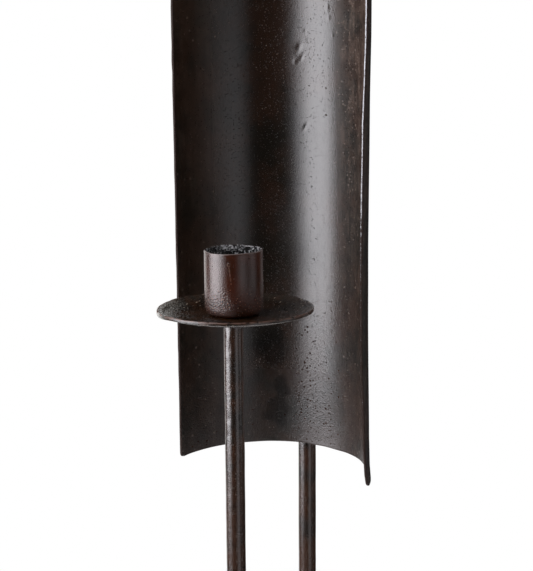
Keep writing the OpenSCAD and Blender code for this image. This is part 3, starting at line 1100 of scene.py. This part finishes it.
def build_cup(sizes, material):
    """The drawn cup: a smooth wall over a grainy foot, a worn lip painted lighter in part as a
    highlight line, and a rough inside.
    """
    outer_r = (CUP_HIGH.x - CUP_LOW.x) / 2 - sizes.shrink
    bore_r = outer_r - sizes.wall
    foot_z, top_z = CUP_LOW.z, CUP_HIGH.z
    floor_z = foot_z + sizes.floor
    foot_round = sizes.foot_round
    inner_round = foot_round - sizes.wall
    half = sizes.wall / 2
    section = np.concatenate([
        [[sizes.screw_hole_radius, foot_z]],
        arc((outer_r - foot_round, foot_z + foot_round), foot_round, -90, 0, 10),
        arc((outer_r - half, top_z - half), half, 0, 180, 10),
        arc((bore_r - inner_round, floor_z + inner_round), inner_round, 0, -90, 8),
        [[sizes.screw_hole_radius, floor_z]],
    ])
    section = even(section, CUP_STEP * MM)
    points, angles = revolved(section, FRONT_Y, CUP_AROUND)
    points[..., 0] += sizes.side_shift
    radius, z = section[:, 0][None, :], section[:, 1][None, :]
    outside = (radius > outer_r - half) * ease(z, foot_z + 1 * MM, foot_z + 3 * MM)
    inside = (radius < outer_r - half) * ease(z, floor_z + 0.5 * MM, floor_z + 3 * MM)
    inside = inside * (radius > 6 * MM)
    grainy = 1 - ease(z, foot_z + 9 * MM, foot_z + 16 * MM)
    shape = outside * (uneven(points, WALL_LUMPS) + grainy * uneven(points, CUP_FOOT_LUMPS))
    shape = shape + inside * uneven(points, INSIDE_LUMPS)
    out = np.stack([np.sin(angles), -np.cos(angles), np.zeros(CUP_AROUND)], axis=1)
    points = points + out[:, None, :] * shape[..., None]
    near_top = ease(z, top_z - 2.5 * MM, top_z)
    points[..., 2] += near_top * uneven(points * [1, 1, 0], LIP_LUMPS)
    past_lip = ease(np.arange(len(section)) - np.argmax(section[:, 1]), -2, 3)
    # The lip line, painted lighter partly as a highlight
    on_lip_wear_and_highlight = ease(section[:, 1], top_z - 0.5 * MM, top_z - 0.1 * MM) * (1 - past_lip)
    bearing = (np.degrees(angles) + 180) % 360 - 180
    mark = outside * wax_mark(bearing[:, None], z / MM, outer_r / MM)
    mark = mark * (0.7 + 0.6 * lumps(points, 0.9 * MM, 46))
    return make_ring(
        "drawn_cup", points, material, "candle_cup",
        {"inner": past_lip, "lip": on_lip_wear_and_highlight, "mark": mark},
    )


# The keyhole strap


class StrapSizes(bpy.types.PropertyGroup):
    """Sizes of the strap that the holder hangs from"""

    keyhole_radius: length_property("Keyhole radius", "Radius of the keyhole's round hole", 5, 3, 8)
    slot_half_width: length_property(
        "Slot half width", "Half the width of the keyhole's slot", 2.5, 1.5, 4,
    )
    slot_top: length_property(
        "Slot top", "Height of the slot's end over the round hole's centre", 11, 7, 14,
    )
    corner_radius: length_property("Corner radius", "Corner radius of the strap", 4, 1, 8)
    edge_round: length_property("Edge rounding", "Rounding of the strap's edges", 0.35, 0.1, 0.9)


STRAP_AROUND = 288
# Rows of points between the strap's rounded edges, on its front and on its back
STRAP_ROWS = 24
# Unevenness of the strap's front and of its edges
STRAP_FACE_LUMPS = ((0.06, 6, 51),)
STRAP_EDGE_LUMPS = ((0.05, 5, 52),)


def reach_to(outline_test, directions, far):
    """Distance along each direction at which a star-shaped outline is left, by halving."""
    low, high = np.zeros(len(directions)), np.full(len(directions), far)
    for _ in range(40):
        middle = (low + high) / 2
        is_in = outline_test(directions * middle[:, None])
        low, high = np.where(is_in, middle, low), np.where(is_in, high, middle)
    return (low + high) / 2


def build_strap(sizes, material):
    """The flat strap as a ring of metal round its keyhole, with rounded edges."""
    half_w, corner = STRAP_HIGH.x, sizes.corner_radius
    top, bottom = STRAP_HIGH.z, STRAP_LOW.z
    slot_r = sizes.slot_half_width

    def in_keyhole(p):
        x, z = p[:, 0], p[:, 1]
        in_round = np.hypot(x, z) < sizes.keyhole_radius
        in_slot = (np.abs(x) < slot_r) & (z > 0) & (z < sizes.slot_top - slot_r)
        in_end = np.hypot(x, z - sizes.slot_top + slot_r) < slot_r
        return in_round | in_slot | in_end

    def in_strap(p):
        x = np.abs(p[:, 0]) - (half_w - corner)
        z = np.abs(p[:, 1] - (top + bottom) / 2) - ((top - bottom) / 2 - corner)
        return np.hypot(np.maximum(x, 0), np.maximum(z, 0)) < corner

    spin = np.arange(STRAP_AROUND) * FULL_TURN / STRAP_AROUND
    directions = np.stack([np.sin(spin), np.cos(spin)], axis=1)
    far = 2 * (top - bottom)
    hole = reach_to(in_keyhole, directions, far)
    edge = reach_to(in_strap, directions, far)
    soft, front, back = sizes.edge_round, STRAP_LOW.y, STRAP_HIGH.y
    quarter = np.radians(np.linspace(0, 90, 5))
    inward = soft * (1 - np.sin(quarter))
    beside = soft * (1 - np.cos(quarter))
    flat = [
        hole + soft + (edge - hole - 2 * soft) * share
        for share in np.linspace(0, 1, STRAP_ROWS + 2)[1:-1]
    ]
    # The section from the keyhole over the front to the outer edge, and back over the back
    rows = [(hole + b, front + i) for i, b in zip(inward, beside)]
    rows += [(reach, front) for reach in flat]
    rows += [(edge - b, front + i) for i, b in zip(inward[::-1], beside[::-1])]
    rows += [(edge - b, back - i) for i, b in zip(inward, beside)]
    rows += [(reach, back) for reach in flat[::-1]]
    rows += [(hole + b, back - i) for i, b in zip(inward[::-1], beside[::-1])]
    points = np.empty((len(rows), STRAP_AROUND, 3))
    for number, (reach, y) in enumerate(rows):
        points[number, :, 0] = directions[:, 0] * reach
        points[number, :, 1] = y
        points[number, :, 2] = directions[:, 1] * reach
    on_front = points[..., 1] < front + soft
    points[..., 1] += on_front * uneven(points, STRAP_FACE_LUMPS)
    points[..., 0] += uneven(points, STRAP_EDGE_LUMPS)
    return make_ring("keyhole_strap", points, material, "wall_hanger")


# The welds


class WeldSizes(bpy.types.PropertyGroup):
    """Sizes and colours of the weld beads"""

    bead_radius: length_property("Bead radius", "Radius of a weld bead", 1.7, 1, 3)
    shield_bead_length: length_property(
        "Shield bead length", "Length of each bead behind the shield", 18, 8, 40,
    )
    hanger_bead_length: length_property(
        "Hanger bead length", "Length of each bead on the strap", 20, 8, 40,
    )
    ripple: length_property("Ripple", "Distance between the ripples of a bead", 1.5, 0.8, 4)
    pan_leg: length_property("Pan weld leg", "Leg of the ring weld under the pan", 1.8, 1, 4)
    iron: colour_property("Iron", "Colour of the blackened iron", "#22180f")
    oxide: colour_property("Oxide", "Colour where brown oxide shows through", "#3b2617")
    dust: colour_property("Dust", "Colour of the dust and light specks", "#8a7463")


# Spacing of a bead's rings, in mm
BEAD_STEP = 0.4
BEAD_AROUND = 20
# Height and size of a bead's lumps, in mm
BEAD_LUMP = (0.14, 1.6)
# How far a bead's last rings stay inside its ends, in mm
BEAD_INSET = 0.05
BEAD_SEED = 60
# Rows of beads behind the shield, how far beside the bar's middle the beads lie in shares of
# its radius, and how deep they sink in shares of their own
BEAD_ROWS = 3
BEAD_SIDE = 0.8
BEAD_SINK = 0.45
RING_AROUND = 72
# Unevenness of the ring weld, and grains that only stand out of it
RING_LUMPS = ((0.16, 1.7, 71),)
RING_GRAINS = ((0.1, 0.9, 72),)
# How far the ring weld reaches into the bar and into the pan, in mm, and how far above the
# pan's underside the point lies from which its lumps grow
RING_SINK = 0.3
RING_RISE = 0.2
RING_MIDDLE = 0.6


def bead(start, length, radius, ripple, seed):
    """Points of one upright rippled bead, its two end points last."""
    along = stations(0, length, BEAD_STEP * MM)
    along[0] += BEAD_INSET * MM
    along[-1] -= BEAD_INSET * MM
    from_end = np.minimum(along, length - along)
    swell = np.sqrt(1 - np.clip(1 - from_end / (1.3 * radius), 0, 1) ** 2)
    scallop = np.abs(np.sin(math.pi * along / ripple)) ** 0.6
    radii = radius * (0.25 + 0.75 * swell) * (0.9 + 0.12 * scallop)
    zero = np.zeros_like(along)
    centres = np.stack([zero, zero, along], axis=-1) + start
    sideways = np.stack([zero + 1, zero, zero], axis=-1)
    outwards = np.stack([zero, zero + 1, zero], axis=-1)
    rings = tube(centres, sideways, outwards, radii, BEAD_AROUND)
    lump = uneven(rings, ((*BEAD_LUMP, seed),))[..., None]
    rings = rings + away_from(centres, rings) * lump
    poles = np.array([start, np.add(start, (0, 0, length))])
    return np.concatenate([rings.reshape(-1, 3), poles]), capped_faces(len(along), BEAD_AROUND)


def build_beads(name, starts, length, sizes, material, node):
    """Several beads as one piece."""
    points, faces, count = [], [], 0
    for number, start in enumerate(starts):
        found, quads = bead(start, length, sizes.bead_radius, sizes.ripple, BEAD_SEED + number)
        points.append(found)
        faces.extend(group + count for group in quads)
        count += len(found)
    return make_piece(
        name, np.concatenate(points), faces, material, [node]
    )


def build_pan_weld(sizes, material):
    """The ring weld in the corner between the bar's top and the pan."""
    leg, top = sizes.pan_leg, PAN_LOW.z
    inner, upper = BAR_RADIUS - RING_SINK * MM, top + RING_RISE * MM
    section = np.concatenate([
        [[inner, top - leg]],
        arc((BAR_RADIUS + leg, top - leg), leg, 180, 90, 10),
        [[BAR_RADIUS + leg, upper], [inner, upper]],
    ])
    points, _ = revolved(section, FRONT_Y, RING_AROUND)
    shown = np.zeros(len(section))
    shown[1:-2] = 1
    rough = shown * (uneven(points, RING_LUMPS) + np.abs(uneven(points, RING_GRAINS)))
    middle = np.array([[0, FRONT_Y, top + RING_MIDDLE * MM]])
    points = points + away_from(middle, points) * rough[..., None]
    return make_ring("pan_ring_weld", points, material, "pan_weld")


# The studio


class StudioSettings(bpy.types.PropertyGroup):
    """Light of the studio"""

    key_radiance: FloatProperty(
        name="Key radiance", description="Brightness of the softbox on the left",
        default=3.2, min=0, max=20,
    )
    fill_radiance: FloatProperty(
        name="Fill radiance", description="Brightness of the dim panels on the right",
        default=0.3, min=0, max=5,
    )
    room_light: FloatProperty(
        name="Room light", description="Brightness of the room round the object",
        default=0.3, min=0, max=2,
    )


CAMERA_PLACE = (0.26533, -0.62306, -0.17742)
CAMERA_YAW = 24.869
CAMERA_PITCH = 10.714
CAMERA_ROLL = -0.547
CAMERA_LENS = 91.67
SENSOR_WIDTH = 36

COOL_WHITE = (0.97, 0.955, 1.0)
# Height of the point that all lamps face
LAMPS_FACE_Z = -0.25
# The key softbox: left azimuth and elevation in degrees, distance and height, and the azimuths
# at which its layers end on the right, so that its edge is soft
KEY_LEFT_EDGE, KEY_ELEVATION, KEY_DISTANCE, KEY_HEIGHT = -77, 15, 1.3, 1.82
KEY_RIGHT_EDGES = (-28, -21, -13)
# Dim panels: name, left and right azimuth, elevation, distance, height and share of the fill
PANELS = (
    ("fill_panel", 44, 74, -14, 1.5, 1.0, 1.0),
    ("side_panel", 91, 116, 5, 1.5, 1.4, 1.0),
    ("back_panel", 136, 160, 5, 1.5, 1.4, 0.6),
)

# Direction of the middle of the white sheet that the object mirrors, behind it on the left, the
# cosines between which its edge fades, and the light beside it and in it
BACKDROP_HEADING = (-0.684, 0.708, -0.174)
BACKDROP_FADE = (0.86, 0.9)
BACKDROP_LIGHT = (0.01, 1.2)

FLOOR_Z = -1.3
FLOOR_RADIUS = 1.2
FLOOR_CORNERS = 96
# Light that the floor adds to its own, as the camera and as glossy surfaces see it
FLOOR_GLOW = 0.75
FLOOR_MIRRORED = 0.6


def add_lamp(name, left, right, elevation, distance, height, radiance):
    """A soft lamp that faces the object, between two azimuths in degrees. Azimuth 0 is towards
    the room and grows to the right."""
    width = 2 * distance * math.tan(math.radians((right - left) / 2))
    light = bpy.data.lights.new(name, "AREA")
    light.shape = "RECTANGLE"
    light.size = width
    light.size_y = height
    light.energy = radiance * math.pi * width * height
    light.color = COOL_WHITE
    lamp = bpy.data.objects.new(name, light)
    bpy.context.scene.collection.objects.link(lamp)
    a, e = math.radians((left + right) / 2), math.radians(elevation)
    out = Vector((math.sin(a) * math.cos(e), -math.cos(a) * math.cos(e), math.sin(e)))
    lamp.location = Vector((0, FRONT_Y / 2, LAMPS_FACE_Z)) + out * distance
    lamp.rotation_euler = out.to_track_quat("Z", "Y").to_euler()
    lamp.visible_camera = False


def build_camera():
    """The camera, at the photograph's angle."""
    data = bpy.data.cameras.new("studio_camera")
    data.lens = CAMERA_LENS
    data.sensor_width = SENSOR_WIDTH
    camera = bpy.data.objects.new("studio_camera", data)
    bpy.context.scene.collection.objects.link(camera)
    turn = (
        Matrix.Rotation(math.radians(CAMERA_YAW), 4, "Z")
        @ Matrix.Rotation(math.radians(90 - CAMERA_PITCH), 4, "X")
        @ Matrix.Rotation(math.radians(CAMERA_ROLL), 4, "Z")
    )
    camera.matrix_world = Matrix.Translation(CAMERA_PLACE) @ turn
    bpy.context.scene.camera = camera


def build_world(room_light):
    """White as the camera sees it, with a white sheet behind the object on the left for glossy
    surfaces, and a dim even light for the rest."""
    world = bpy.data.worlds.new("white_studio")
    bpy.context.scene.world = world
    world.use_nodes = True
    tree = world.node_tree
    add = partial(add_node, tree)
    rays = add("LightPath").node.outputs
    heading = add("TexCoord", give="Generated")
    nearness = add("VectorMath", (heading, BACKDROP_HEADING), operation="DOT_PRODUCT")
    backdrop = add("MapRange", (nearness, *BACKDROP_FADE, *BACKDROP_LIGHT), **SMOOTH)
    seen = add("Math", (rays["Is Camera Ray"], rays["Is Transmission Ray"]), **LARGER)
    level = add("Mix", (rays["Is Glossy Ray"], room_light, backdrop))
    level = add("Mix", (seen, level, 1.0))
    sky = tree.nodes["Background"]
    sky.inputs["Color"].default_value = (1, 1, 1, 1)
    tree.links.new(level, sky.inputs["Strength"])


def build_floor():
    """A round floor in pale matte paint, white to the camera but for the object's shadow."""
    rim = [
        (FLOOR_RADIUS * math.cos(FULL_TURN * i / FLOOR_CORNERS),
         FLOOR_RADIUS * math.sin(FULL_TURN * i / FLOOR_CORNERS), FLOOR_Z)
        for i in range(FLOOR_CORNERS)
    ]
    mesh = bpy.data.meshes.new("studio_floor")
    mesh.from_pydata(rim, [], [list(range(FLOOR_CORNERS))])
    floor = bpy.data.objects.new("studio_floor", mesh)
    bpy.context.scene.collection.objects.link(floor)
    material, add, _ = start_material("pale_painted_floor")
    rays = add("LightPath").node.outputs
    seen = add("Math", (rays["Is Camera Ray"], rays["Is Transmission Ray"]), **LARGER)
    seen = add("Math", (seen, FLOOR_GLOW), **TIMES)
    mirrored = add("Math", (rays["Is Glossy Ray"], FLOOR_MIRRORED), **TIMES)
    finish_material(material, {
        "Base Color": linear("#e6e6e6"),
        "Roughness": 0.9,
        "Emission Color": (1, 1, 1, 1),
        "Emission Strength": add("Math", (seen, mirrored), **LARGER),
    })
    mesh.materials.append(material)


def build_studio(settings):
    """Camera, lamps, world and floor."""
    bpy.context.scene.view_settings.view_transform = "Standard"
    build_camera()
    for number, right in enumerate(KEY_RIGHT_EDGES):
        add_lamp(
            f"key_softbox_{number}", KEY_LEFT_EDGE, right, KEY_ELEVATION, KEY_DISTANCE, KEY_HEIGHT,
            settings.key_radiance / len(KEY_RIGHT_EDGES),
        )
    for name, left, right, elevation, distance, height, share in PANELS:
        add_lamp(name, left, right, elevation, distance, height, settings.fill_radiance * share)
    build_world(settings.room_light)
    build_floor()


# Operators


class HolderSettings(bpy.types.PropertyGroup):
    """All settings of the wall candle holder"""

    shield: PointerProperty(type=ShieldSizes, name="Shield")
    bar: PointerProperty(type=BarSizes, name="Bar")
    pan: PointerProperty(type=PanSizes, name="Pan")
    cup: PointerProperty(type=CupSizes, name="Cup")
    strap: PointerProperty(type=StrapSizes, name="Strap")
    weld: PointerProperty(type=WeldSizes, name="Welds")
    studio: PointerProperty(type=StudioSettings, name="Studio")


SHIELD_FINISH = IronFinish(
    patch=24, oxide_share=0.5, roughness=0.2, ior=2.15,
    peel=1.1, peel_depth=0.015, grain=0.5, grain_depth=0.06,
    pit=0.65, pit_depth=0.05, pit_share=0.42, dust_share=0.31, pit_strength=0.6, stretch=0.8,
    foot=-390, foot_fade=95, foot_peel=0.085, foot_grit=0.07, foot_pits=0.66,
    foot_dust=0.2, foot_roughness=0.14,
)
BAR_FINISH = IronFinish(
    patch=14, oxide_share=0.6, roughness=0.22, ior=2.6,
    peel=2.0, peel_depth=0.06, grain=0.5, grain_depth=0.07,
    pit=0.9, pit_depth=0.06, pit_share=0.14, dust_share=0.12,
)
PAN_FINISH = IronFinish(
    patch=6, oxide_share=0.45, roughness=0.21, ior=2.15,
    peel=0.85, peel_depth=0.0, grain=0.45, grain_depth=0.26,
    pit=0.8, pit_depth=0.1, pit_share=0.1, dust_share=0.0, stretch=0.35,
    foot=-200, foot_fade=10, foot_peel=0.6, foot_grit=0.1,
    foot_glint_specks=0.5, foot_glint_strength=0.75,
)
CUP_FINISH = IronFinish(
    patch=10, oxide_share=0.6, roughness=0.2, ior=2.15,
    peel=0.72, peel_depth=0.03, grain=0.45, grain_depth=0.1,
    pit=0.72, pit_depth=0.08, pit_share=0.08, dust_share=0.0,
    foot=-299, foot_fade=13, foot_peel=0.34, foot_grit=0.14, foot_glint_specks=0.76,
    foot_glint_strength=0.5, foot_roughness=-0.04,
)
WELD_FINISH = IronFinish(
    patch=4, oxide_share=0.5, roughness=0.28, ior=2.2,
    peel=1.2, peel_depth=0.2, grain=0.5, grain_depth=0.08,
    pit=0.9, pit_depth=0.1, pit_share=0.2, dust_share=0.2,
)


class CANDLE_HOLDER_OT_shield(bpy.types.Operator):
    """Build the rolled shield"""

    bl_idname = "candle_holder.shield"
    bl_label = "Rolled shield"

    def execute(self, context):
        sizes = context.scene.candle_holder.shield
        material = iron_material("waxed_black_iron_sheet", sizes, SHIELD_FINISH, shield_details)
        build_shield(sizes, material)
        return {"FINISHED"}


class CANDLE_HOLDER_OT_bar(bpy.types.Operator):
    """Build the bent bar"""

    bl_idname = "candle_holder.bar"
    bl_label = "Bent bar"

    def execute(self, context):
        sizes = context.scene.candle_holder.bar
        material = iron_material("waxed_forged_iron_bar", sizes, BAR_FINISH)
        build_bar(sizes, material)
        build_strap(context.scene.candle_holder.strap, material)
        return {"FINISHED"}


class CANDLE_HOLDER_OT_pan(bpy.types.Operator):
    """Build the drip pan"""

    bl_idname = "candle_holder.pan"
    bl_label = "Drip pan"

    def execute(self, context):
        sizes = context.scene.candle_holder.pan
        material = iron_material("waxed_pressed_iron_pan", sizes, PAN_FINISH, pan_details)
        build_pan(sizes, material)
        return {"FINISHED"}


class CANDLE_HOLDER_OT_cup(bpy.types.Operator):
    """Build the candle cup and finish its screw"""

    bl_idname = "candle_holder.cup"
    bl_label = "Candle cup"

    def execute(self, context):
        sizes = context.scene.candle_holder.cup
        material = iron_material("waxed_drawn_iron_cup", sizes, CUP_FINISH, cup_details)
        build_cup(sizes, material)
        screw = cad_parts["cup_screw"]
        steel = steel_material()
        if not screw.material_slots:
            raise RuntimeError("the cup screw has no material slot")
        for slot in screw.material_slots:
            slot.material = steel
        return {"FINISHED"}


class CANDLE_HOLDER_OT_welds(bpy.types.Operator):
    """Build the weld beads"""

    bl_idname = "candle_holder.welds"
    bl_label = "Weld beads"

    def execute(self, context):
        sizes = context.scene.candle_holder.weld
        material = iron_material("weld_bead_scale", sizes, WELD_FINISH)
        side = BAR_RADIUS * BEAD_SIDE
        sink = BAR_RADIUS - sizes.bead_radius * BEAD_SINK
        low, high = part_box("shield_welds")
        heights = np.linspace(low.z, high.z - sizes.shield_bead_length, BEAD_ROWS)
        shield_starts = [(x, REAR_Y - sink, z) for z in heights for x in (-side, side)]
        build_beads(
            "shield_beads", shield_starts, sizes.shield_bead_length, sizes, material, "shield_welds"
        )
        low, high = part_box("hanger_welds")
        hanger_starts = [(x, REAR_Y + sink, low.z) for x in (-side, side)]
        build_beads(
            "strap_beads", hanger_starts, sizes.hanger_bead_length, sizes, material, "hanger_welds"
        )
        build_pan_weld(sizes, material)
        return {"FINISHED"}


class CANDLE_HOLDER_OT_studio(bpy.types.Operator):
    """Set up the studio"""

    bl_idname = "candle_holder.studio"
    bl_label = "Studio"

    def execute(self, context):
        build_studio(context.scene.candle_holder.studio)
        return {"FINISHED"}


class CANDLE_HOLDER_PT_panel(bpy.types.Panel):
    """The steps that build the candle holder"""

    bl_idname = "CANDLE_HOLDER_PT_panel"
    bl_label = "Candle holder"
    bl_space_type = "VIEW_3D"
    bl_region_type = "UI"
    bl_category = "Candle holder"

    def draw(self, context):
        for step in STEPS:
            self.layout.operator(step.bl_idname)


STEPS = (
    CANDLE_HOLDER_OT_studio, CANDLE_HOLDER_OT_shield, CANDLE_HOLDER_OT_bar,
    CANDLE_HOLDER_OT_pan, CANDLE_HOLDER_OT_cup, CANDLE_HOLDER_OT_welds,
)
CLASSES = (
    ShieldSizes, BarSizes, PanSizes, CupSizes, StrapSizes, WeldSizes, StudioSettings,
    HolderSettings, *STEPS, CANDLE_HOLDER_PT_panel,
)


def register():
    for cls in CLASSES:
        bpy.utils.register_class(cls)
    bpy.types.Scene.candle_holder = PointerProperty(type=HolderSettings)


def unregister():
    del bpy.types.Scene.candle_holder
    for cls in reversed(CLASSES):
        bpy.utils.unregister_class(cls)


def main():
    """Builds everything."""
    register()
    bpy.ops.candle_holder.studio()
    bpy.ops.candle_holder.shield()
    bpy.ops.candle_holder.bar()
    bpy.ops.candle_holder.pan()
    bpy.ops.candle_holder.cup()
    bpy.ops.candle_holder.welds()


if __name__ == "__main__":
    main()
